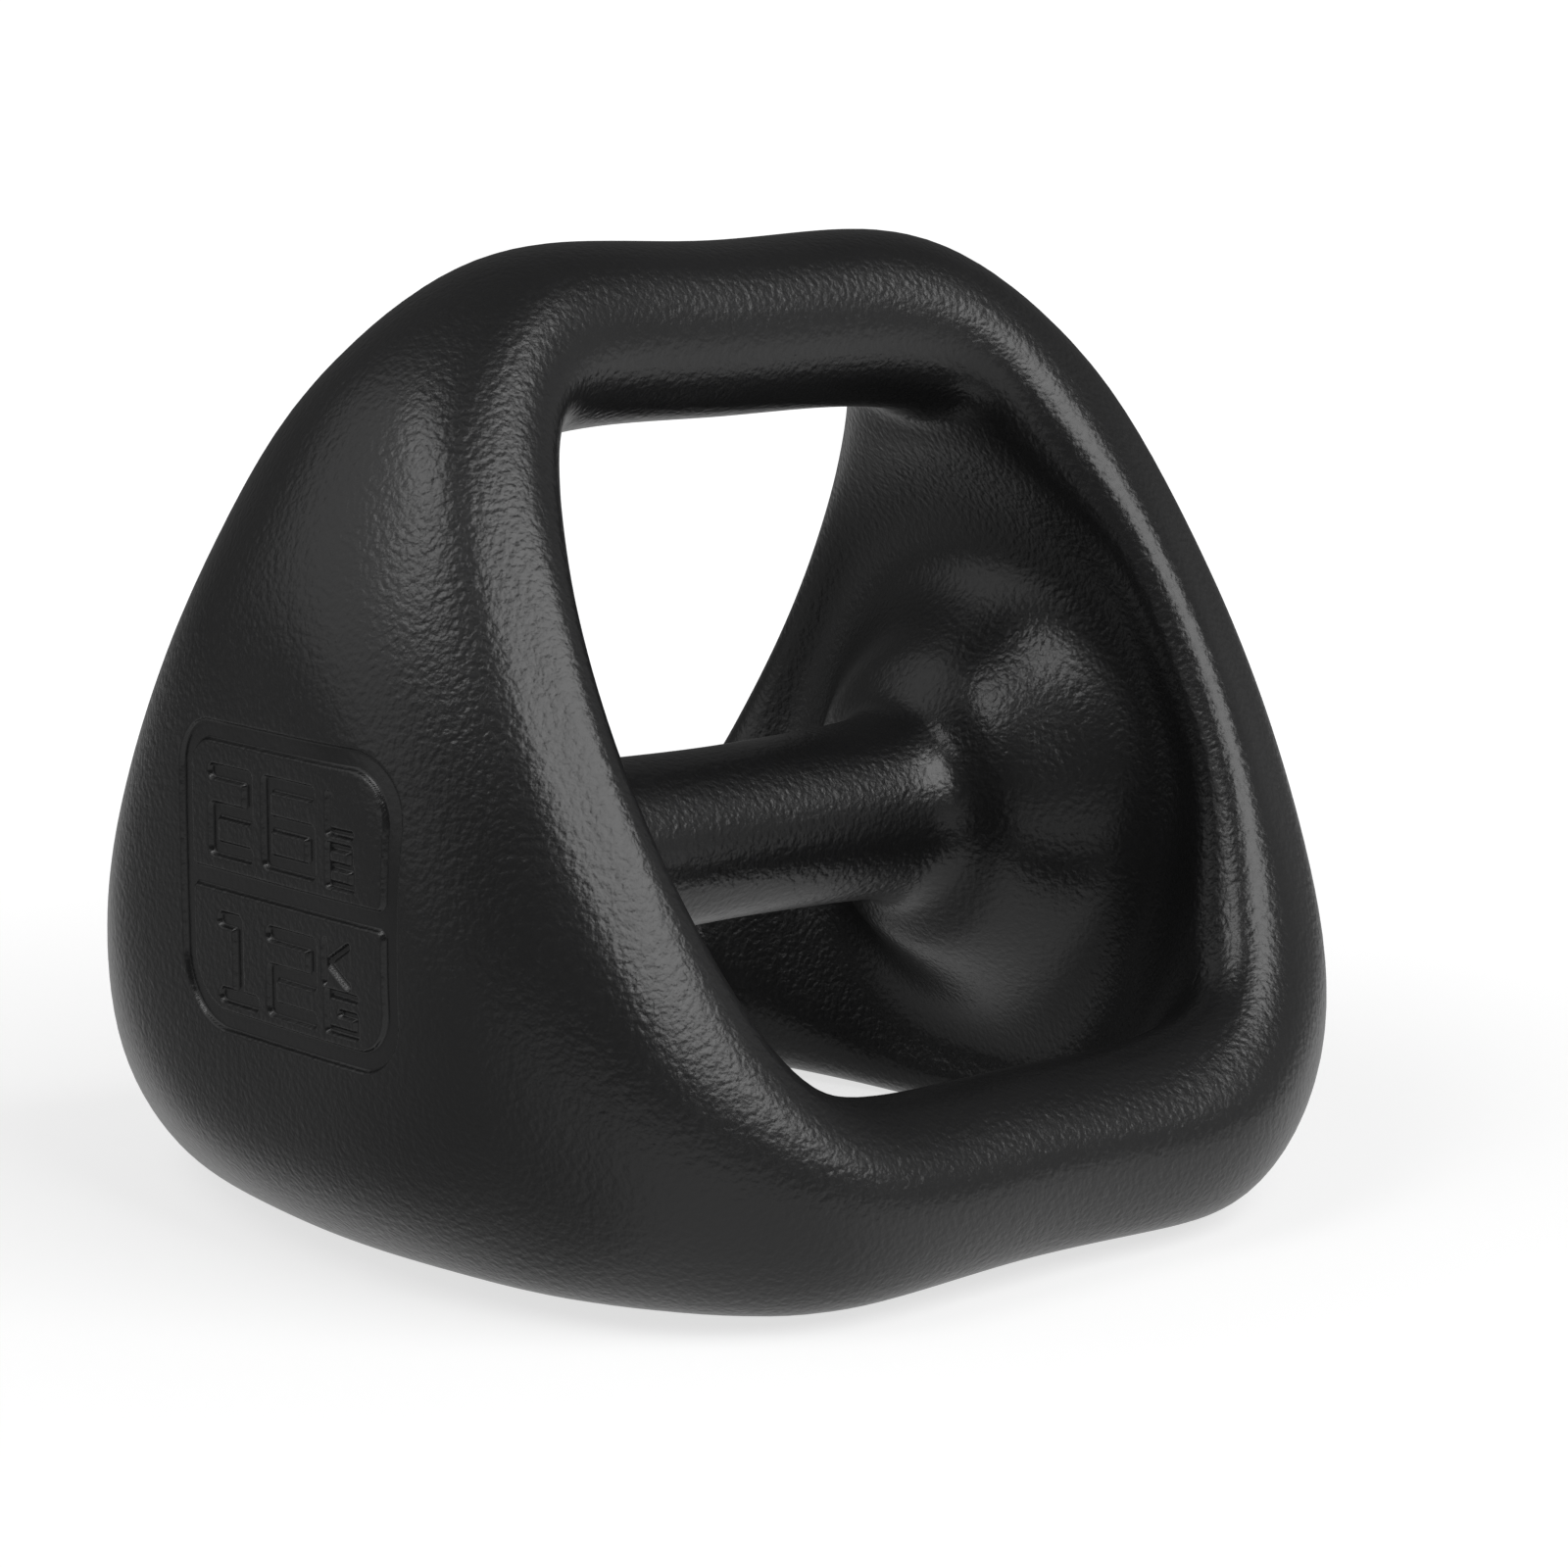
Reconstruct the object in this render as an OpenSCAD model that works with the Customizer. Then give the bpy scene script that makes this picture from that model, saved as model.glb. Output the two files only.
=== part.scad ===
// Three-handled kettlebell: two drafted iron halves, dowelled and welded at the middle, under one dipped coat.
// Frame: +Z up, X along the centre grip, origin on the floor below the middle of the grip.
// The body repeats three times around the grip axis, and is the same left and right of the middle plane.

/* [Overall] */
// Half of the length along the grip, to the crown of each domed end
half_length = 103.5; // [80:0.5:160]
// Grip axis to the straight lower edge of a head, which the weight stands on
side_reach = 67.5; // [50:0.5:100]
// How far the resting edges are flattened
rest_flat = 0.5; // [0.2:0.1:1.2]

/* [Outer handles] */
// Grip axis to the centre line of an outer handle
handle_reach = 94.5; // [75:0.5:140]
// Handle thickness at its middle, measured towards the grip
handle_h = 32; // [24:0.5:44]
// Handle width at its middle, measured around the grip axis
handle_w = 34.5; // [26:0.5:48]
// How much the centre line bows outwards between its middle and its quarter points
handle_bow = 1.5; // [0:0.1:4]
// Mid plane to the place where a handle turns into the rim
shoulder_x = 53; // [35:0.5:90]

/* [Centre grip] */
// Grip diameter at the middle
grip_d = 32.5; // [25:0.5:44]
// How much the grip swells in diameter before it meets the heads
grip_swell = 2; // [0:0.1:6]

/* [Heads] */
// Thickness of the rim tube, across the straight side
rim_t = 17; // [12:0.5:26]
// Mid plane to the middle of the rim tube, on the straight side
rim_x = 71.5; // [50:0.5:110]
// Mid plane to the floor of the dish between the rim and the boss
dish_x = 66.5; // [45:0.5:100]
// Radius of the dish floor around the grip axis
dish_r = 44.5; // [30:0.5:70]
// Mid plane to the top of the boss fillet, where the grip is at its plain size
boss_x = 40; // [20:0.5:70]
// Radius of the boss on the inner face
boss_r = 32; // [20:0.5:50]
// Radius of the flat crown of the domed end
crown_r = 25; // [15:0.5:40]

/* [Joint at the middle plane] */
// Diameter of the steel dowels
dowel_d = 12; // [6:0.5:16]
// Length of the steel dowels
dowel_len = 44; // [20:1:80]
// Gap between a dowel and its bore, on the diameter
dowel_clear = 0.1; // [0:0.05:0.5]
// Gap past each end of a dowel
dowel_end_gap = 1; // [0.5:0.5:4]
// Depth of the weld groove
weld_depth = 4; // [2:0.5:6]
// Width of the weld groove at the surface
weld_w = 7; // [4:0.5:12]

/* [Coat] */
// Thickness of the dipped coat
coat_t = 1.5; // [0.8:0.1:3]

/* [Hidden] */
$fn = 48;
eps = 0.01;

// Turns about the grip axis that bring the top handle to the front and to the rear
front_turn = 240;
rear_turn = 120;
turns = [0, rear_turn, front_turn];

// Control sections. A smooth closed section lies inside its control polygon, so the polygon is larger:
// by this factor with 8 points around it, and by this one with 18.
f8 = 6 / (4 + 2 * cos(45));
f18 = 6 / (4 + 2 * cos(20));

// A control point is [x, u, v]: along the grip, out towards the handle, and around from the handle.
// side() places one by its distance from the axis square to the straight side, and its place along that side.
function side(x, n, t) = [x, n / 2 + t * sin(60), n * sin(60) - t / 2];
function ring(x, r, a) = [x, r * cos(a), r * sin(a)];

// Handle section: O outermost, I innermost, S at the flank, A and B between them
function handle_ring(x, c, h, w, lean, xs) = [
    [x, c + h, 0], [x, c + 0.72 * h, 0.78 * w], [xs, c - lean, w],
    [(x + xs) / 2, c - 0.72 * h, 0.71 * w], [x, c - h, 0]];

hh = handle_h / 2 * f8;
hw = handle_w / 2 * 1.08;
h0 = handle_ring(0, handle_reach, hh, hw, 2, 0);
h1 = handle_ring(shoulder_x * 0.52, handle_reach + handle_bow, hh + 0.6, hw - 0.8, 2.4, shoulder_x * 0.52);
h2 = handle_ring(shoulder_x, handle_reach, hh + 1.4, hw + 3, 3.5, shoulder_x - 4);

// Rim: outer shoulder A, straight edge S and inner shoulder B, at the corner, along the side and at its middle
s_n = side_reach + 1.4;
a_n = s_n - rim_t * 0.26;
rc = [[rim_x + 5.5, handle_reach + 4.5, 0], side(rim_x + 8.5, a_n - 0.5, handle_reach * 0.675),
      side(rim_x - 11, s_n - 0.5, handle_reach * 0.535), side(rim_x - 18.5, s_n - 16, handle_reach * 0.54),
      [rim_x - 17.5, handle_reach - 24.5, 0]];
rr = [side(rim_x + 8.5, a_n, handle_reach * 0.3), side(rim_x - 1, s_n, handle_reach * 0.285),
      side(rim_x - 7, s_n - 6, handle_reach * 0.28)];
rm = [side(rim_x + 9.5, a_n + 0.5, 0), side(rim_x + 1.5, s_n, 0), side(rim_x - 6, s_n - 7, 0)];

// Rings around the grip axis, each at 0, 20, 40 and 60 degrees from the handle:
// shoulder and crown of the domed end, then dish, boss and grip on the inner face
step = [0, 20, 40, 60];
dome_a = [ring(half_length - 16.5, handle_reach - 5.5, 0), ring(half_length - 16, side_reach + 8.5, 20),
          ring(half_length - 16.5, side_reach - 0.5, 40), ring(half_length - 15.5, side_reach - 4, 60)];
dome_b = [ring(half_length - 0.5, crown_r + 30, 0), ring(half_length - 0.2, crown_r + 29.5, 20),
          ring(half_length - 0.2, crown_r + 24.5, 40), ring(half_length - 0.2, crown_r + 21.5, 60)];
crown = [for (a = step) ring(half_length, crown_r, a)];
lip = [ring(dish_x - 3.5, dish_r + 17.5, 0), ring(dish_x, dish_r + 14.5, 20),
       ring(dish_x + 3, dish_r + 12, 40), ring(dish_x + 4, dish_r + 9.5, 60)];
dish = [for (a = step) ring(dish_x, dish_r, a)];
grip_r = grip_d / 2 * f18;
rise = [for (a = step) ring(boss_x + 17, boss_r + 3.5, a)];
boss = [for (a = step) ring(boss_x + 9, boss_r - 3, a)];
neck = [for (a = step) ring(boss_x + 6, grip_r + grip_swell + 1, a)];
grip2 = [for (a = step) ring(boss_x - 3, grip_r + grip_swell / 2, a)];
grip1 = [for (a = step) ring(boss_x * 0.48, grip_r + grip_swell / 4, a)];
grip0 = [for (a = step) ring(0, grip_r, a)];

// One twelfth of the body: its control points in one list, and the four-sided patches between them by number
points = concat(h0, h1, h2, rc, rr, rm, dome_a, dome_b, crown, lip, dish, rise, boss, neck, grip2, grip1, grip0);
handle_rows = [for (i = [0 : 3]) [for (j = [0 : 4]) 5 * i + j]];
rim_rows = [[16, 17, 18], [20, 21, 22], [23, 24, 25]];
function ring_row(k) = [for (j = [0 : 3]) 26 + 4 * k + j];
outer_rows = [[15, 16, 20, 23], ring_row(0), ring_row(1), ring_row(2)];
inner_rows = [[19, 18, 22, 25], for (k = [3 : 10]) ring_row(k)];
function strips(rows) = [for (i = [0 : len(rows) - 2], j = [0 : len(rows[0]) - 2])
    [rows[i][j], rows[i + 1][j], rows[i + 1][j + 1], rows[i][j + 1]]];
function flip(faces) = [for (f = faces) [for (i = [len(f) - 1 : -1 : 0]) f[i]]];
patches = flip(concat(strips(handle_rows), strips(rim_rows), strips(outer_rows), flip(strips(inner_rows))));
crown_row = ring_row(2);
// The flat crown is closed around a point on the grip axis
hub = [half_length, 0, 0];

// A point may lie on the middle plane, the handle plane and the side plane; its neighbours are mirrored there
function planes(p) = [abs(p[0]) < 0.001, abs(p[2]) < 0.001, abs(p[1] * sin(60) - p[2] * cos(60)) < 0.001];
function onto(q, k) = let(
    d = q[1] * cos(60) + q[2] * sin(60),
    w = k[1] && k[2] ? [0, 0] : k[1] ? [q[1], 0] : k[2] ? [d * cos(60), d * sin(60)] : [q[1], q[2]])
    [k[0] ? 0 : q[0], w[0], w[1]];
function shared(j, k) = [for (i = [0 : 2]) j[i] && k[i]];
function any(k) = k[0] || k[1] || k[2];
function sum(v) = [for (i = 0, s = v[0]; i < len(v); i = i + 1, s = i < len(v) ? s + v[i] : s) s][len(v) - 1];
function mean(v) = sum(v) / len(v);
function has(f, i) = len(search(i, f)) > 0;
function pair(a, b) = [min(a, b), max(a, b)];
flags = [for (p = points) planes(p)];
patch_mid = [for (f = patches) mean([for (i = f) points[i]])];

// Every edge once, with the numbers of the patches that meet along it
all_pairs = [for (f = patches, i = [0 : 3]) pair(f[i], f[(i + 1) % 4])];
edges = [for (i = [0 : len(all_pairs) - 1])
    if (len([for (j = [0 : 1 : i - 1]) if (all_pairs[j] == all_pairs[i]) 1]) == 0) all_pairs[i]];
function edge_no(a, b) = let(e = pair(a, b)) [for (i = [0 : len(edges) - 1]) if (edges[i] == e) i][0];

// Smoothing: a point in each patch, one on each edge, and each control point drawn towards its neighbours
edge_pts = [for (e = edges) let(
    f = [for (i = [0 : len(patches) - 1]) if (has(patches[i], e[0]) && has(patches[i], e[1])) patch_mid[i]],
    crown_edge = has(crown_row, e[0]) && has(crown_row, e[1]),
    across = len(f) == 2 ? (f[0] + f[1]) / 2 : crown_edge ? (f[0] + hub) / 2
           : onto(f[0], shared(flags[e[0]], flags[e[1]])))
    (points[e[0]] + points[e[1]]) / 4 + across / 2];
corner_pts = [for (v = [0 : len(points) - 1]) let(
    k = flags[v],
    top = has(crown_row, v),
    copies = (k[0] ? 2 : 1) * (k[1] || k[2] ? 2 : 1),
    f = [for (i = [0 : len(patches) - 1]) if (has(patches[i], v)) patch_mid[i]],
    w = copies > 1 ? 2 : 1,
    near = [for (e = edges) if (e[0] == v || e[1] == v) e[0] == v ? e[1] : e[0]],
    we = [for (e = near) any(shared(flags[e], k)) ? 1 : w],
    n = len(f) * copies + (top ? 1 : 0),
    fp = (sum(f) * w + (top ? hub : [0, 0, 0])) / (len(f) * w + (top ? 1 : 0)),
    ep = sum([for (i = [0 : len(near) - 1]) we[i] * (points[near[i]] + points[v]) / 2]) / sum(we))
    (onto(fp, k) + 2 * onto(ep, k) + (n - 3) * points[v]) / n];
body_pts = concat(corner_pts, edge_pts, patch_mid, [hub]);
e0 = len(points);
f0 = e0 + len(edges);
hub_no = f0 + len(patches);
function tri(a, b, c, d) = [[a, b, c], [a, c, d]];
function patch_quads(i, keep) = [for (f = [patches[i]], j = [0 : 3]) if (keep(f[j]))
    each tri(f[j], e0 + edge_no(f[j], f[(j + 1) % 4]), f0 + i, e0 + edge_no(f[j], f[(j + 3) % 4]))];
function tris_of(keep) = [for (i = [0 : len(patches) - 1]) each patch_quads(i, keep)];
crown_tris = [for (j = [0 : 2]) let(a = crown_row[j], b = crown_row[j + 1], e = e0 + edge_no(a, b))
    each [[a, e, hub_no], [e, b, hub_no]]];

// Three zones: the middle of a handle, the middle of the grip, and a head with all that is left
on_handle = function(v) v < 10;
on_grip = function(v) v >= ring_row(8)[0];
on_head = function(v) !on_handle(v) && !on_grip(v);
handle_tris = tris_of(on_handle);
grip_tris = tris_of(on_grip);
head_tris = concat(tris_of(on_head), crown_tris);
body_tris = concat(handle_tris, grip_tris, head_tris);
// Where the zones meet: a line across each handle, and one across the grip
handle_line = [for (j = [0 : 4]) each [e0 + edge_no(5 + j, 10 + j), if (j < 4) f0 + 4 + j]];
grip_line = let(a = ring_row(8), b = ring_row(7)) [for (j = [0 : 3])
    each [e0 + edge_no(a[j], b[j]), if (j < 3) [for (i = [0 : len(patches) - 1])
        if (has(patches[i], a[j]) && has(patches[i], a[j + 1]) && has(patches[i], b[j])) f0 + i][0]]];

// The iron lies one coat thickness inside the finished surface, measured square to it
tri_normals = [for (t = body_tris)
    cross(body_pts[t[1]] - body_pts[t[0]], body_pts[t[2]] - body_pts[t[0]])];
outward = [for (v = [0 : len(body_pts) - 1]) let(
    n = onto(sum([for (i = [0 : len(body_tris) - 1]) if (has(body_tris[i], v)) tri_normals[i]]),
             planes(body_pts[v])))
    n / norm(n)];
iron_pts = [for (v = [0 : len(body_pts) - 1])
    onto(body_pts[v] - coat_t * outward[v], planes(body_pts[v]))];

// Six or twelve copies of the piece make a head or the whole body. Numbers are rounded so that copies meet.
function tidy(x) = round(x * 100) / 100;
function place(p, turn, sx, sv) = [tidy(sx * p[0]),
    tidy(p[1] * sin(turn) + sv * p[2] * cos(turn)), tidy(p[1] * cos(turn) - sv * p[2] * sin(turn))];
function copies(xs) = [for (sx = xs, t = turns, sv = [1, -1]) [t, sx, sv]];
function handle_copies(turn) = [for (sx = [1, -1], sv = [1, -1]) [turn, sx, sv]];
function all_points(pts, xs) = [for (c = copies(xs), p = pts) place(p, c[0], c[1], c[2])];
function placed(faces, cs, n) = [for (i = [0 : len(cs) - 1], t = faces)
    let(f = [for (v = t) v + i * n]) cs[i][1] * cs[i][2] > 0 ? f : [f[2], f[1], f[0]]];
function all_faces(xs) = placed(body_tris, copies(xs), len(body_pts));

// One zone of the coat: its outside, its inside against the iron, and its ends across the given line.
// The next zone ends in the same line, so the two meet face to face.
module coat_zone(tris, line, cs) {
    n = len(body_pts);
    ends = [for (t = tris, k = [0 : 2]) let(a = t[k], b = t[(k + 1) % 3])
        if (has(line, a) && has(line, b)) each [[b, a, a + n], [b, a + n, b + n]]];
    inner = [for (t = tris) [t[2] + n, t[1] + n, t[0] + n]];
    used = concat(tris, inner, ends);
    polyhedron([for (c = cs, p = concat(body_pts, iron_pts)) place(p, c[0], c[1], c[2])],
        placed(used, cs, 2 * n), convexity = 12);
}

// The flat faces where a half is cut at the middle plane: around each handle, and around the grip
handle_cut = [0, e0 + edge_no(0, 1), 1, e0 + edge_no(1, 2), 2, e0 + edge_no(2, 3), 3, e0 + edge_no(3, 4), 4];
g = ring_row(10);
grip_cut = [g[0], e0 + edge_no(g[0], g[1]), g[1], e0 + edge_no(g[1], g[2]), g[2], e0 + edge_no(g[2], g[3]), g[3]];
function cut_faces() = let(n = len(body_pts)) flip(concat(
    [for (t = [0 : 2]) concat([for (v = handle_cut) v + 2 * t * n],
        [for (i = [len(handle_cut) - 2 : -1 : 1]) handle_cut[i] + (2 * t + 1) * n])],
    [[for (t = [0 : 2]) each concat(
        [for (i = [len(grip_cut) - 1 : -1 : 1]) grip_cut[i] + (2 * t + 1) * n],
        [for (i = [0 : len(grip_cut) - 2]) grip_cut[i] + 2 * t * n])]]));

// The iron under one zone, as a bar that is closed at both ends around a point on its centre line
module iron_bar(tris, line, reach, cs) {
    n = len(iron_pts);
    centre = [mean([for (i = line) iron_pts[i]])[0], reach, 0];
    ends = [for (t = tris, k = [0 : 2]) let(a = t[k], b = t[(k + 1) % 3])
        if (has(line, a) && has(line, b)) [b, a, n]];
    polyhedron([for (c = cs, p = concat(iron_pts, [centre])) place(p, c[0], c[1], c[2])],
        placed(concat(tris, ends), cs, n + 1), convexity = 4);
}

// The iron of one half, with flat faces where the halves meet
module iron_half() polyhedron(all_points(iron_pts, [1]), concat(all_faces([1]), cut_faces()), convexity = 12);

// Everything is drawn about the grip axis and then lifted so that the flattened edges stand on the floor
// The sides are the lowest part, unless the handles reach out so far that they are lower.
handle_low = handle_reach * cos(60) + handle_w / 2 + handle_bow;
low_reach = max(side_reach, handle_low);
base_z = low_reach - rest_flat;
module stand() translate([0, 0, base_z]) children();
// A thing drawn on the grip axis, moved out to the middle of a handle
module at_handle(turn) rotate([-turn, 0, 0]) translate([0, 0, handle_reach]) children();
module along_x() rotate([0, 90, 0]) children();

// Weld groove: a V around the bar, closed at its root and open past the surface
weld_over = 6;
module groove(r) let(root = r - weld_depth, slope = weld_w / 2 / weld_depth) along_x()
    rotate_extrude() polygon([[root, 0], [r + weld_over, (weld_depth + weld_over) * slope],
        [r + weld_over, -(weld_depth + weld_over) * slope]]);
grip_iron_r = grip_d / 2 - coat_t;
handle_iron_r = handle_h / 2 - coat_t;
module grooves() {
    groove(grip_iron_r);
    for (t = turns) at_handle(t) groove(handle_iron_r);
}
module dowel_bore() along_x()
    cylinder(d = dowel_d + dowel_clear, h = dowel_len + 2 * dowel_end_gap, center = true);
module dowel_bores() {
    dowel_bore();
    for (t = turns) at_handle(t) dowel_bore();
}
module half_casting() difference() {
    iron_half();
    grooves();
    dowel_bores();
}

module right_half_casting() color("DimGray") stand() half_casting();
module left_half_casting() color("DimGray") stand() mirror([1, 0, 0]) half_casting();

module dowel() color("Silver") along_x() cylinder(d = dowel_d, h = dowel_len, center = true);
module grip_dowel() stand() dowel();
module top_handle_dowel() stand() at_handle(0) dowel();
module front_handle_dowel() stand() at_handle(front_turn) dowel();
module rear_handle_dowel() stand() at_handle(rear_turn) dowel();

// A bead fills its groove and is dressed flush with the iron of its bar
module grip_weld() color("Gray") stand() intersection() {
    iron_bar(grip_tris, grip_line, 0, copies([1, -1]));
    groove(grip_iron_r);
}
module handle_weld(turn) color("Gray") stand() intersection() {
    iron_bar(handle_tris, handle_line, handle_reach, handle_copies(turn));
    at_handle(turn) groove(handle_iron_r);
}
module top_handle_weld() handle_weld(0);
module front_handle_weld() handle_weld(front_turn);
module rear_handle_weld() handle_weld(rear_turn);

// The coat is one skin all over the iron, held here in zones that meet across the bars.
// Its two resting edges are flattened by the weight on them.
coat_colour = [0.06, 0.06, 0.06];
module flattened() difference() {
    children();
    translate([-half_length - 5, -low_reach * 2, -low_reach - 20])
        cube([half_length * 2 + 10, low_reach * 4, 20 + rest_flat]);
}
module head_coat() flattened()
    coat_zone(head_tris, concat(handle_line, grip_line), copies([1]));
module right_head_coat() color(coat_colour) stand() head_coat();
module left_head_coat() color(coat_colour) stand() mirror([1, 0, 0]) head_coat();
module grip_coat() color(coat_colour) stand() coat_zone(grip_tris, grip_line, copies([1, -1]));
module handle_coat(turn) color(coat_colour) stand() flattened()
    coat_zone(handle_tris, handle_line, handle_copies(turn));
module top_handle_coat() handle_coat(0);
module front_handle_coat() handle_coat(front_turn);
module rear_handle_coat() handle_coat(rear_turn);

right_half_casting();
left_half_casting();
grip_dowel();
top_handle_dowel();
front_handle_dowel();
rear_handle_dowel();
grip_weld();
top_handle_weld();
front_handle_weld();
rear_handle_weld();
right_head_coat();
left_head_coat();
grip_coat();
top_handle_coat();
front_handle_coat();
rear_handle_coat();
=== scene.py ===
"""Three-handled kettlebell: the looks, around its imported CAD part. The skin is laid out in millimetres."""

import math

import bmesh
import bpy
import numpy as np
from mathutils import Matrix, Vector
from mathutils.bvhtree import BVHTree


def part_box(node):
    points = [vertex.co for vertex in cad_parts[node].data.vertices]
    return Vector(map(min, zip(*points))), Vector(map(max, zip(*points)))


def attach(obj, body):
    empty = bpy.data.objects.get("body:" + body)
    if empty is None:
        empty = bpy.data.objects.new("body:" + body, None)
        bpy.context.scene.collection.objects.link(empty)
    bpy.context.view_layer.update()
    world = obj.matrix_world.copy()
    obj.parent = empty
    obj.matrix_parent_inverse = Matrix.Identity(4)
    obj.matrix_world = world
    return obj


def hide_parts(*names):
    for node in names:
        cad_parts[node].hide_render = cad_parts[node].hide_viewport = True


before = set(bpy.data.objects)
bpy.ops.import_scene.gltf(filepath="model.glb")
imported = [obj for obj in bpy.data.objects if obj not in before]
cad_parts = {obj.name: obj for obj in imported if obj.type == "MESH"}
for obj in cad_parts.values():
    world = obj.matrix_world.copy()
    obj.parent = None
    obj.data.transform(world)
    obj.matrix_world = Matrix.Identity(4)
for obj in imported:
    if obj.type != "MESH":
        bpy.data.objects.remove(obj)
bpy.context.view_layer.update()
MM = 0.001


# ---------------------------------------------------------------------------
# Iron halves. Two mirror-image grey iron castings, one per head, each with half of the grip and of the
# three handles. Sand cast and fettled, then joined at the middle. They stay as the CAD has them.

class Wire:
    """One socket in a finish. A sum written with it adds the Math nodes."""

    def __init__(self, finish, socket):
        self.finish = finish
        self.socket = socket

    def maths(self, operation, *terms):
        return self.finish.add("ShaderNodeMath", {"operation": operation}, dict(enumerate(terms)))

    def __add__(self, other):
        return self.maths("ADD", self, other)

    __radd__ = __add__

    def __sub__(self, other):
        return self.maths("SUBTRACT", self, other)

    def __rsub__(self, other):
        return self.maths("SUBTRACT", other, self)

    def __mul__(self, other):
        return self.maths("MULTIPLY", self, other)

    __rmul__ = __mul__

    def over(self, low, high):
        """0 below low, 1 above high, and smooth between them."""
        return self.finish.add("ShaderNodeMapRange", {"interpolation_type": "SMOOTHSTEP"},
                               {"Value": self, "From Min": low, "From Max": high})


class Finish:
    """A material or the room's light, built node by node."""

    def __init__(self, owner, shader="Principled BSDF", here="Object"):
        owner.use_nodes = True
        self.owner = owner
        self.tree = owner.node_tree
        self.shader = self.tree.nodes[shader]
        self.here = self.add("ShaderNodeTexCoord", out=here)

    def set(self, node, sockets):
        for key, value in sockets.items():
            if isinstance(value, Wire):
                self.tree.links.new(value.socket, node.inputs[key])
            else:
                node.inputs[key].default_value = value

    def add(self, kind, settings=None, sockets=None, out=0):
        """Adds a node: its settings first, then the values and wires of its sockets."""
        node = self.tree.nodes.new(kind)
        for key, value in (settings or {}).items():
            setattr(node, key, value)
        self.set(node, sockets or {})
        return Wire(self, node.outputs[out])

    def noise(self, size, detail=2.0, rough=0.5, stretch=(1, 1, 1)):
        """Random relief whose lumps are about size millimetres across."""
        where = self.add("ShaderNodeMapping", None, {"Vector": self.here, "Scale": stretch})
        return self.add("ShaderNodeTexNoise", None, {
            "Vector": where, "Scale": 1 / (size * MM), "Detail": detail, "Roughness": rough})

    def cells(self, size, feature="F1"):
        return self.add("ShaderNodeTexVoronoi", {"feature": feature}, {
            "Vector": self.here, "Scale": 1 / (size * MM)}, out="Distance")

    def colours(self, share, dark, light):
        """From dark to light as share goes from 0 to 1."""
        node = self.tree.nodes.new("ShaderNodeMix")
        node.data_type = "RGBA"
        self.set(node, {0: share, 6: (*dark, 1), 7: (*light, 1)})
        return Wire(self, node.outputs[2])

    def raised(self, height, depth, under=None):
        """Relief from height, where 1 stands depth millimetres above 0."""
        sockets = {"Strength": 1.0, "Distance": depth * MM, "Height": height}
        if under:
            sockets["Normal"] = under
        return self.add("ShaderNodeBump", None, sockets)

    def split(self, vector):
        node = self.tree.nodes.new("ShaderNodeSeparateXYZ")
        self.set(node, {0: vector})
        return [Wire(self, socket) for socket in node.outputs]

    def finish(self, **shader):
        """Sets the shader's own sockets."""
        self.set(self.shader, {key.replace("_", " "): value for key, value in shader.items()})


def new_finish(name):
    return Finish(bpy.data.materials.new(name))


def wear(node, material):
    """Puts a material on a CAD node, whose mesh is left alone."""
    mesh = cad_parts[node].data
    mesh.materials.clear()
    mesh.materials.append(material)


cast_iron = new_finish("cast_iron")
sand = cast_iron.noise(0.9, detail=4)
scale = cast_iron.noise(14, detail=3)
cast_iron.finish(
    Base_Color=cast_iron.colours(scale.over(0.35, 0.7), (0.10, 0.10, 0.11), (0.20, 0.195, 0.19)),
    Metallic=0.85,
    Roughness=0.55 + 0.25 * sand,
    Normal=cast_iron.raised(sand, 0.25))
for half in ("right_half_casting", "left_half_casting"):
    wear(half, cast_iron.owner)


# ---------------------------------------------------------------------------
# Dowels. Four ground steel pins, pressed by hand into bores across the joint, one in the grip and one in
# each handle. They line the halves up for welding. They stay as the CAD has them.

ground_steel = new_finish("ground_steel")
lay = ground_steel.noise(0.15, detail=2, stretch=(8, 1, 1))
ground_steel.finish(
    Base_Color=ground_steel.colours(lay, (0.50, 0.51, 0.53), (0.66, 0.67, 0.69)),
    Metallic=1.0,
    Roughness=0.22 + 0.15 * lay,
    Normal=ground_steel.raised(lay, 0.01))
for bar in ("grip", "top_handle", "front_handle", "rear_handle"):
    wear(bar + "_dowel", ground_steel.owner)


# ---------------------------------------------------------------------------
# Welds. A bead of weld metal fills the V groove around each bar and is dressed flush with the iron, so
# that the skin lies smooth over it. They stay as the CAD has them.

weld_metal = new_finish("weld_metal")
scratch = weld_metal.noise(0.4, detail=3, stretch=(1, 6, 1))
blotch = weld_metal.noise(5, detail=2)
weld_metal.finish(
    Base_Color=weld_metal.colours(blotch.over(0.35, 0.65), (0.26, 0.25, 0.25), (0.42, 0.42, 0.43)),
    Metallic=0.95,
    Roughness=0.35 + 0.3 * scratch,
    Normal=weld_metal.raised(scratch, 0.04))
for bar in ("grip", "top_handle", "front_handle", "rear_handle"):
    wear(bar + "_weld", weld_metal.owner)


# ---------------------------------------------------------------------------
# Skin. One continuous black coat, dipped over the whole body and cured with a fine pebbled surface. The
# CAD holds it as six zones. Here it is a single piece with an outer and an inner face, pressed flat where
# the weight stands, with the weight panel sunk into the left head.

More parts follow.
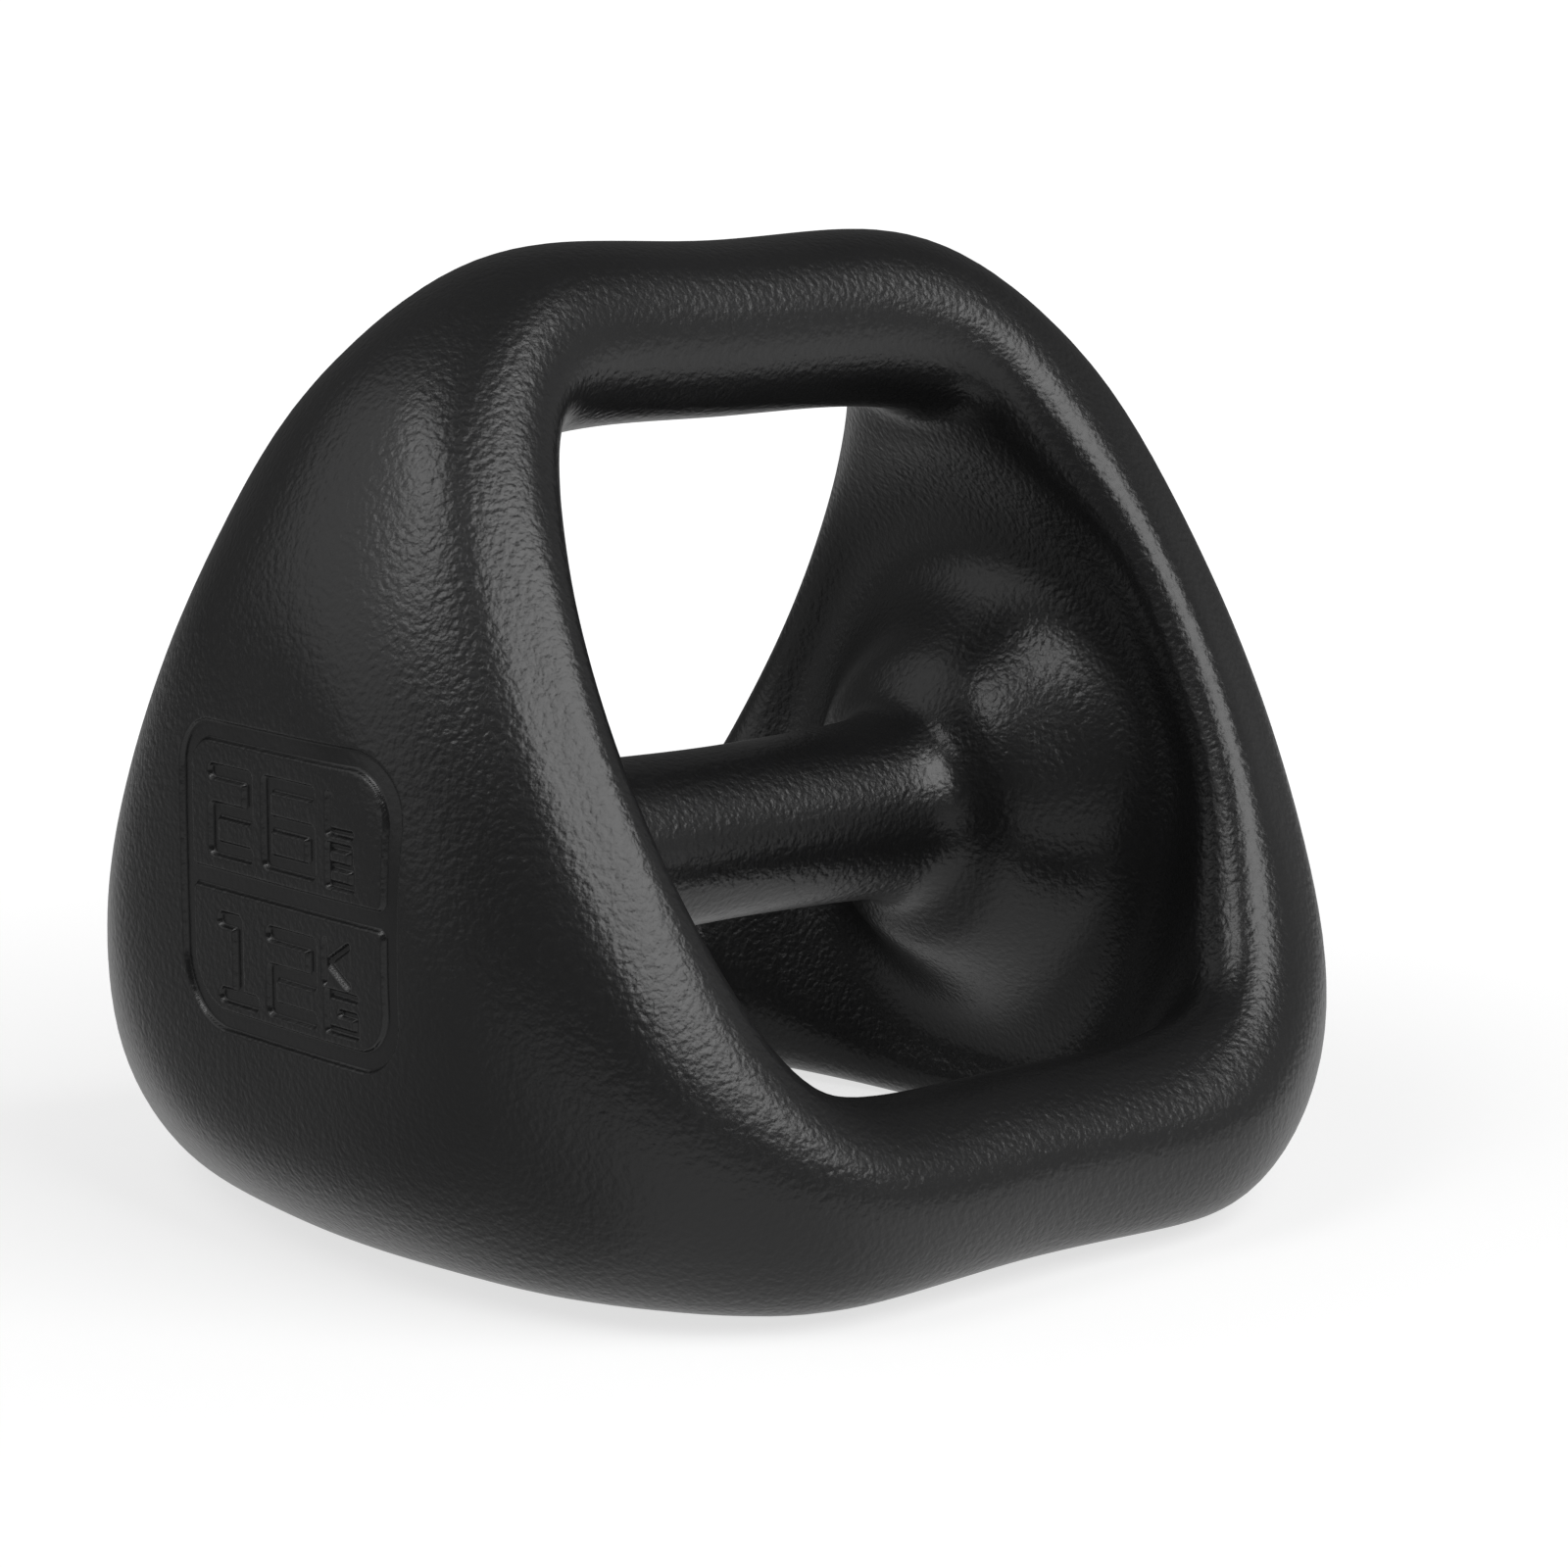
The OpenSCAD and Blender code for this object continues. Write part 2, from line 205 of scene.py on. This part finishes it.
half_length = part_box("right_head_coat")[1].x / MM
grip_height = sum(corner.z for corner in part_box("grip_dowel")) / 2 / MM
handle_reach = sum(corner.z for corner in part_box("top_handle_dowel")) / 2 / MM - grip_height
rest_flat = 0.5
side_reach = grip_height + rest_flat
handle_h, handle_w, handle_bow, shoulder_x = 32, 34.5, 1.5, 53
grip_d, grip_swell = 32.5, 2
rim_t, rim_x = 17, 71.5
dish_x, dish_r, boss_x, boss_r, crown_r = 66.5, 44.5, 40, 32, 25
skin_t = 1.0

SIXTH = math.radians(60)
STEPS = [math.radians(20 * k) for k in range(4)]
# A smooth section lies inside its control points, so these stand out by a factor: 8 points round, or 18
OUT_8 = 6 / (4 + 2 * math.cos(math.radians(45)))
OUT_18 = 6 / (4 + 2 * math.cos(math.radians(20)))


def side(x, reach, along):
    """A point on the straight side: its distance square to the side, and its place along it."""
    return Vector((x, reach * math.sin(SIXTH) - along / 2, reach / 2 + along * math.sin(SIXTH)))


def around(x, radius, turn):
    return Vector((x, radius * math.sin(turn), radius * math.cos(turn)))


def ring(places):
    """A quarter-open row around the grip axis, one (x, radius) for each step from the handle to the side."""
    return [around(x, radius, turn) for (x, radius), turn in zip(places, STEPS)]


def handle_section(x, centre, h, w, lean, flank_x):
    """Half a section of a handle, from its outer face round to its inner face."""
    return [Vector(p) for p in (
        (x, 0, centre + h), (x, 0.78 * w, centre + 0.72 * h), (flank_x, w, centre - lean),
        ((x + flank_x) / 2, 0.71 * w, centre - 0.72 * h), (x, 0, centre - h))]


tall = handle_h / 2 * OUT_8
wide = handle_w / 2 * 1.08
handle_rows = [
    handle_section(0, handle_reach, tall, wide, 2, 0),
    handle_section(shoulder_x * 0.52, handle_reach + handle_bow, tall + 0.6, wide - 0.8, 2.4,
                   shoulder_x * 0.52),
    handle_section(shoulder_x, handle_reach, tall + 1.4, wide + 3, 3.5, shoulder_x - 4)]

# Rim tube: outer shoulder, straight edge and inner shoulder, at the corner, along the side and at its middle
edge = side_reach + 1.4
shoulder = edge - rim_t * 0.26
rim_corner = [
    Vector((rim_x + 5.5, 0, handle_reach + 4.5)), side(rim_x + 8.5, shoulder - 0.5, handle_reach * 0.675),
    side(rim_x - 11, edge - 0.5, handle_reach * 0.535), side(rim_x - 18.5, edge - 16, handle_reach * 0.54),
    Vector((rim_x - 17.5, 0, handle_reach - 24.5))]
rim_run = [side(rim_x + 8.5, shoulder, handle_reach * 0.3), side(rim_x - 1, edge, handle_reach * 0.285),
           side(rim_x - 7, edge - 6, handle_reach * 0.28)]
rim_middle = [side(rim_x + 9.5, shoulder + 0.5, 0), side(rim_x + 1.5, edge, 0), side(rim_x - 6, edge - 7, 0)]

dome_rows = [
    ring([(half_length - 16.5, handle_reach - 5.5), (half_length - 16, side_reach + 8.5),
          (half_length - 16.5, side_reach - 0.5), (half_length - 15.5, side_reach - 4)]),
    ring([(half_length - 0.5, crown_r + 30), (half_length - 0.2, crown_r + 29.5),
          (half_length - 0.2, crown_r + 24.5), (half_length - 0.2, crown_r + 21.5)]),
    ring([(half_length, crown_r)] * 4)]
grip_r = grip_d / 2 * OUT_18
inner_rows = [
    ring([(dish_x - 3.5, dish_r + 17.5), (dish_x, dish_r + 14.5),
          (dish_x + 3, dish_r + 12), (dish_x + 4, dish_r + 9.5)]),
    *(ring([place] * 4) for place in (
        (dish_x, dish_r), (boss_x + 17, boss_r + 3.5), (boss_x + 9, boss_r - 3),
        (boss_x + 6, grip_r + grip_swell + 1), (boss_x - 3, grip_r + grip_swell / 2),
        (boss_x * 0.48, grip_r + grip_swell / 4), (0, grip_r)))]


def draw_out(body, rows):
    """Lays down the first row of points and draws it out through the others, a strip of faces at a time."""
    line = [body.verts.new(point) for point in rows[0]]
    edges = [body.edges.new(ends) for ends in zip(line, line[1:])]
    for row in rows[1:]:
        drawn = bmesh.ops.extrude_edge_only(body, edges=edges)["geom"]
        fresh = {v for v in drawn if isinstance(v, bmesh.types.BMVert)}
        edges = [e for e in drawn if isinstance(e, bmesh.types.BMEdge) and fresh.issuperset(e.verts)]
        line = [next(e.other_vert(v) for e in v.link_edges if e.other_vert(v) in fresh) for v in line]
        for vert, point in zip(line, row):
            vert.co = point


def everything(body):
    return body.verts[:] + body.edges[:] + body.faces[:]


# One twelfth of the body in four strips, then its mirror image, two turned copies, and the other head
cage = bmesh.new()
draw_out(cage, handle_rows + [rim_corner])
draw_out(cage, [rim_corner[1:4], rim_run, rim_middle])
draw_out(cage, [[rim_corner[0], rim_corner[1], rim_run[0], rim_middle[0]], *dome_rows])
draw_out(cage, [[rim_corner[4], rim_corner[3], rim_run[2], rim_middle[2]], *inner_rows])
bmesh.ops.mirror(cage, geom=everything(cage), matrix=Matrix(), merge_dist=0.01, axis="Y")
bmesh.ops.spin(cage, geom=everything(cage), cent=(0, 0, 0), axis=(1, 0, 0), dvec=(0, 0, 0),
               angle=4 * SIXTH, steps=2, use_duplicate=True)
bmesh.ops.mirror(cage, geom=everything(cage), matrix=Matrix(), merge_dist=0.01, axis="X")
bmesh.ops.remove_doubles(cage, verts=cage.verts[:], dist=0.02)
bmesh.ops.holes_fill(cage, edges=[e for e in cage.edges if e.is_boundary], sides=0)
bmesh.ops.recalc_face_normals(cage, faces=cage.faces[:])


def smoothed(levels):
    """The cage drawn smooth, as a new bmesh."""
    mesh = bpy.data.meshes.new("cage")
    cage.to_mesh(mesh)
    holder = bpy.data.objects.new("cage", mesh)
    bpy.context.scene.collection.objects.link(holder)
    soften = holder.modifiers.new("soften", "SUBSURF")
    soften.levels = soften.render_levels = levels
    result = bmesh.new()
    result.from_object(holder, bpy.context.evaluated_depsgraph_get())
    bpy.data.objects.remove(holder)
    return result


# Weight panel: "26 LB" over "12 KG", with a sunk line around each field and sunk strokes.
# Across and up are measured on the face of the left head, from the middle of the panel.
panel_y, panel_z = -8.2, 3.6
panel_w, panel_h = 63.6, 55.2
line_w, split_at = 3.5, -0.9
sunk, ramp = 0.85, 0.42
grain = 0.3
figure_w, letter_w = 2.7, 1.3
figure_h = 13.6


def run(points, width):
    """A stroke of that width through the points, as its straight lengths."""
    return [(a, b, width / 2) for a, b in zip(points, points[1:])]


def two(x, y, w=10.8, h=figure_h):
    return run([(x, y + h), (x + w, y + h), (x + w, y + h / 2), (x, y + h / 2), (x, y), (x + w, y)],
               figure_w)


def six(x, y, w=13.2, h=figure_h):
    return run([(x + w, y + h), (x, y + h), (x, y), (x + w, y), (x + w, y + h / 2), (x, y + h / 2)],
               figure_w)


def one(x, y, foot=9.6, h=figure_h):
    stem = x + foot / 2
    return run([(x, y + h), (stem, y + h), (stem, y)], figure_w) + run([(x, y), (x + foot, y)], figure_w)


def small_l(x, y, w=6.4, h=6.2):
    return run([(x, y + h), (x, y), (x + w, y)], letter_w)


def small_b(x, y, w=6.8, h=6.6):
    return run([(x, y), (x, y + h), (x + w - 0.5, y + h), (x + w - 0.5, y + h / 2), (x, y + h / 2)],
               letter_w) \
        + run([(x + w - 0.5, y + h / 2), (x + w, y + h / 2), (x + w, y), (x, y)], letter_w)


def small_k(x, y, w=6.8, h=7.0):
    return run([(x, y), (x, y + h)], letter_w) \
        + run([(x + w, y + h), (x + 1, y + h / 2), (x + w, y)], letter_w)


def small_g(x, y, w=8.2, h=6.4):
    return run([(x + w, y + h), (x, y + h), (x, y), (x + w, y), (x + w, y + h / 2),
                (x + w * 0.45, y + h / 2)], letter_w)


strokes = two(-21.5, 5.0) + six(-4.9, 5.0) + small_l(13.6, 12.9) + small_b(13.4, 3.8) \
    + one(-19.4, -21.2) + two(-4.3, -21.0, w=12.2, h=13.2) + small_k(11.8, -13.5) + small_g(12.4, -21.6)


def rounded_box(across, up, left, right, low, high, corners):
    """Distance from a box, below 0 inside. The radii are low left, low right, high left and high right."""
    mid_x, mid_y = (left + right) / 2, (low + high) / 2
    radius = np.where(up < mid_y, np.where(across < mid_x, corners[0], corners[1]),
                      np.where(across < mid_x, corners[2], corners[3]))
    dx = np.abs(across - mid_x) - (right - left) / 2 + radius
    dy = np.abs(up - mid_y) - (high - low) / 2 + radius
    return np.hypot(np.maximum(dx, 0), np.maximum(dy, 0)) + np.minimum(np.maximum(dx, dy), 0) - radius


def how_sunk(across, up):
    """1 on the floor of a line or stroke, 0 on the face, and smooth between them."""
    w, h = panel_w / 2, panel_h / 2
    plate = rounded_box(across, up, -w, w, -h, h, (13, 10.5, 9, 13))
    fields = np.minimum(
        rounded_box(across, up, -w + line_w, w - line_w, split_at + line_w / 2 + 0.3, h - line_w,
                    (1, 1.5, 6, 9.5)),
        rounded_box(across, up, -w + line_w, w - line_w, -h + line_w, split_at - line_w / 2 + 0.3,
                    (10, 7.5, 1, 1.5)))
    near = np.maximum(plate, -fields)
    for (ax, ay), (bx, by), half in strokes:
        length = math.hypot(bx - ax, by - ay)
        share = np.clip(((across - ax) * (bx - ax) + (up - ay) * (by - ay)) / length ** 2, 0, 1)
        away = np.hypot(across - ax - share * (bx - ax), up - ay - share * (by - ay))
        near = np.minimum(near, away - half)
    t = np.clip(0.5 - near / ramp, 0, 1)
    return t * t * (3 - 2 * t)


skin = smoothed(3)
pressed = skin.verts.layers.float.new("sunk")
finest = smoothed(5)
hull = BVHTree.FromBMesh(finest)
finest.free()

# A fine patch takes the place of the smooth faces behind the panel, in a hole cut square around it
patch_w, patch_h = panel_w + 3, panel_h + 3
hole_w, hole_h = patch_w + 2, patch_h + 2
cut_margin, same_line = 1, 0.01


def in_hole(point, margin=0):
    return (point.x < 0 and abs(point.y - panel_y) < hole_w / 2 + margin
            and abs(point.z - panel_z) < hole_h / 2 + margin)


def on_dome(face):
    """True where a face looks out of the left head."""
    return face.normal.x < -0.3


for square, offset, span in ((Vector((0, 1, 0)), panel_y, hole_w), (Vector((0, 0, 1)), panel_z, hole_h)):
    for way in (-1, 1):
        faces = [f for f in skin.faces if on_dome(f) and any(in_hole(v.co, cut_margin) for v in f.verts)]
        edges = {e for f in faces for e in f.edges}
        bmesh.ops.bisect_plane(skin, geom=faces + list(edges) + list({v for e in edges for v in e.verts}),
                               plane_co=square * (offset + way * span / 2), plane_no=square)
        skin.normal_update()
bmesh.ops.delete(skin, geom=[f for f in skin.faces if on_dome(f) and in_hole(f.calc_center_median())],
                 context="FACES")
hole = [e for e in skin.edges if e.is_boundary]
patch = bmesh.ops.create_grid(skin, x_segments=round(patch_w / grain), y_segments=round(patch_h / grain),
                              size=0.5)["verts"]
for v in patch:
    y, z = panel_y - v.co.x * patch_w, panel_z + v.co.y * patch_h
    v.co = hull.ray_cast((-2 * half_length, y, z), (1, 0, 0))[0]
depth = how_sunk(np.array([panel_y - v.co.y for v in patch]), np.array([v.co.z - panel_z for v in patch]))
for v, share in zip(patch, depth):
    v.co.x += sunk * share
    v[pressed] = share
# A strip of triangles joins each side of the hole to the side of the patch that faces it
patch_edges = [e for v in patch for e in v.link_edges if e.is_boundary]
seam = {v for e in hole + patch_edges for v in e.verts}
rim_of_hole = {v for e in hole for v in e.verts}


def on_side(verts, w, h, y_way, z_way):
    """The points on one side of a w by h box about the panel, corners too, in order along it."""
    if y_way:
        picked = [v for v in verts if abs(v.co.y - panel_y - y_way * w / 2) < same_line]
        return sorted(picked, key=lambda v: v.co.z)
    picked = [v for v in verts if abs(v.co.z - panel_z - z_way * h / 2) < same_line]
    return sorted(picked, key=lambda v: v.co.y)


for y_way, z_way in ((-1, 0), (1, 0), (0, -1), (0, 1)):
    outer = on_side(rim_of_hole, hole_w, hole_h, y_way, z_way)
    inner = on_side(seam - rim_of_hole, patch_w, patch_h, y_way, z_way)
    place = (lambda v: v.co.z) if y_way else (lambda v: v.co.y)
    while len(outer) > 1 or len(inner) > 1:
        if len(inner) == 1 or (len(outer) > 1 and place(outer[1]) < place(inner[1])):
            skin.faces.new((outer[0], outer[1], inner[0]))
            outer.pop(0)
        else:
            skin.faces.new((outer[0], inner[1], inner[0]))
            inner.pop(0)
bmesh.ops.recalc_face_normals(skin, faces=skin.faces[:])
skin.verts.index_update()
seam_normals = {v.index: hull.find_nearest(v.co)[1] for v in seam}

# Inner face: a coarser copy of the body, drawn in by the skin's thickness and turned to face the iron
lining = smoothed(2)
lining.normal_update()
moved = [v.co - v.normal * skin_t for v in lining.verts]
for v, point in zip(lining.verts, moved):
    v.co = point
bmesh.ops.reverse_faces(lining, faces=lining.faces[:])
lining_mesh = bpy.data.meshes.new("lining")
lining.to_mesh(lining_mesh)
skin.from_mesh(lining_mesh)

for v in skin.verts:
    v.co.z = max(v.co.z, -grip_height)
bmesh.ops.transform(skin, verts=skin.verts[:],
                    matrix=Matrix.Scale(MM, 4) @ Matrix.Translation((0, 0, grip_height)))
for face in skin.faces:
    face.smooth = True
skin_mesh = bpy.data.meshes.new("skin")
skin.to_mesh(skin_mesh)
# Shading across the seam of the patch follows the smooth body, and everything else keeps its own
skin_mesh.normals_split_custom_set_from_vertices(
    [seam_normals.get(v.index, (0, 0, 0)) for v in skin_mesh.vertices])
coat = bpy.data.objects.new("skin", skin_mesh)
bpy.context.scene.collection.objects.link(coat)

black_coat = new_finish("black_coat")
smooth = black_coat.add("ShaderNodeAttribute", {"attribute_name": "sunk"}, out="Fac")
pebble = black_coat.noise(1.15, detail=1.5, rough=0.45)
cell = black_coat.cells(1.3, "SMOOTH_F1")
fine = black_coat.noise(0.45, detail=1)
ripple = black_coat.noise(22, detail=0)
dust = black_coat.noise(45, detail=3)
relief = (0.65 * pebble + 0.25 * (1 - cell) + 0.12 * fine) * (1 - 0.75 * smooth)
black_coat.finish(
    Base_Color=black_coat.colours(dust.over(0.3, 0.7), (0.0075, 0.0075, 0.0077), (0.0105, 0.0105, 0.0108)),
    Roughness=0.24 + 0.10 * pebble + 0.04 * dust - 0.09 * smooth,
    Normal=black_coat.raised(relief, 0.24, under=black_coat.raised(ripple, 0.06)))
skin_mesh.materials.append(black_coat.owner)
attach(coat, "root")
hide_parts("right_head_coat", "left_head_coat", "grip_coat",
            "top_handle_coat", "front_handle_coat", "rear_handle_coat")


# ---------------------------------------------------------------------------
# Studio. A white floor that bends up into a wall all round, two soft boxes, a dim room, and the camera.
# None of it is part of the object.

axis_point = Vector((0, 0, grip_height * MM))
floor_radius, floor_bend, wall_height = 5.0, 2.0, 7.0
sweep = bmesh.new()
line = [sweep.verts.new((0, 0, 0))]
line += bmesh.ops.extrude_vert_indiv(sweep, verts=line)["verts"]
line[1].co.x = floor_radius
bmesh.ops.spin(sweep, geom=[line[1]], cent=(floor_radius, 0, floor_bend), axis=(0, -1, 0),
               angle=math.radians(90), steps=16)
lip = max(sweep.verts, key=lambda v: v.co.z)
bmesh.ops.extrude_vert_indiv(sweep, verts=[lip])["verts"][0].co.z = wall_height
bmesh.ops.spin(sweep, geom=everything(sweep), cent=(0, 0, 0), axis=(0, 0, 1), angle=math.radians(360),
               steps=96, use_merge=True)
bmesh.ops.remove_doubles(sweep, verts=sweep.verts[:], dist=0.001)
bmesh.ops.recalc_face_normals(sweep, faces=sweep.faces[:])
if min(sweep.faces, key=lambda f: f.calc_center_median().length).normal.z < 0:
    bmesh.ops.reverse_faces(sweep, faces=sweep.faces[:])
for face in sweep.faces:
    face.smooth = True
sweep_mesh = bpy.data.meshes.new("floor")
sweep.to_mesh(sweep_mesh)
floor = bpy.data.objects.new("floor", sweep_mesh)
bpy.context.scene.collection.objects.link(floor)
paper = new_finish("paper")
from_middle = paper.add("ShaderNodeVectorMath", {"operation": "LENGTH"}, {0: paper.here}, out="Value")
paper.finish(
    Base_Color=paper.colours(paper.noise(2, detail=3), (0.36, 0.36, 0.36), (0.40, 0.40, 0.40)),
    Emission_Color=paper.colours(from_middle.over(0.1, 0.7), (0.70, 0.70, 0.70), (1.0, 1.0, 1.0)),
    Emission_Strength=1.0, Roughness=0.9)
sweep_mesh.materials.append(paper.owner)
# The room's own light stands for what the floor throws back, so the paper is only seen and shaded
floor.visible_glossy = floor.visible_diffuse = floor.visible_shadow = False


def toward(turn, rise):
    """A direction, in degrees: its turn from the rear towards the right head, and its rise above level."""
    turn, rise = math.radians(turn), math.radians(rise)
    return Vector((math.sin(turn) * math.cos(rise), math.cos(turn) * math.cos(rise), math.sin(rise)))


def soft_box(name, direction, distance, width, height, radiance):
    lamp = bpy.data.lights.new(name, "AREA")
    lamp.shape = "RECTANGLE"
    lamp.size, lamp.size_y = width, height
    lamp.energy = radiance * math.pi * width * height
    holder = bpy.data.objects.new(name, lamp)
    place = axis_point + direction * distance
    holder.matrix_world = Matrix.Translation(place) @ direction.to_track_quat("Z", "Y").to_matrix().to_4x4()
    bpy.context.scene.collection.objects.link(holder)


soft_box("right_box", toward(172, 41), distance=1.4, width=1.15, height=0.9, radiance=4.2)
soft_box("left_box", toward(-96, 53), distance=1.4, width=0.55, height=0.6, radiance=3.6)

room = Finish(bpy.data.worlds.new("room"), "Background", "Generated")
x, y, z = room.split(room.here)


def glow(turn, rise, low, high):
    """1 toward that direction, falling to 0 where the cosine of the angle from it drops from high to low."""
    aim = toward(turn, rise)
    return (aim.x * x + aim.y * y + aim.z * z).over(low, high)


floor_glow = 0.55 * (1 - z.over(-0.2, 0.02)) * (1 - 0.7 * glow(-50, -12, 0.45, 0.85))
wall_glow = 0.7 * glow(-62, 32, 0.75, 0.97)
low_glow = 0.25 * glow(125, -10, 0.5, 0.95)
all_round = 0.10
room.finish(Color=(1, 1, 1, 1), Strength=floor_glow + (wall_glow + low_glow) + all_round)
bpy.context.scene.world = room.owner
bpy.context.scene.view_settings.view_transform = "Standard"

view_turn, view_pitch, view_roll = (math.radians(a) for a in (40.68, 10.225, -0.04))
# The camera looks along ahead, from the distance back, and slid across and up to frame the weight
ahead = Vector((math.sin(view_turn) * math.cos(view_pitch), math.cos(view_turn) * math.cos(view_pitch),
                -math.sin(view_pitch)))
level = Vector((math.cos(view_turn), -math.sin(view_turn), 0))
upward = level.cross(ahead)
across = math.cos(view_roll) * level + math.sin(view_roll) * upward
above = math.cos(view_roll) * upward - math.sin(view_roll) * level
lens = bpy.data.cameras.new("camera")
lens.sensor_width, lens.lens = 36, 100.44
camera = bpy.data.objects.new("camera", lens)
stand = axis_point + (13.039 * across + 9.258 * above - 826.16 * ahead) * MM
camera.matrix_world = Matrix.Translation(stand) @ Matrix((across, above, -ahead)).transposed().to_4x4()
bpy.context.scene.collection.objects.link(camera)
bpy.context.scene.camera = camera
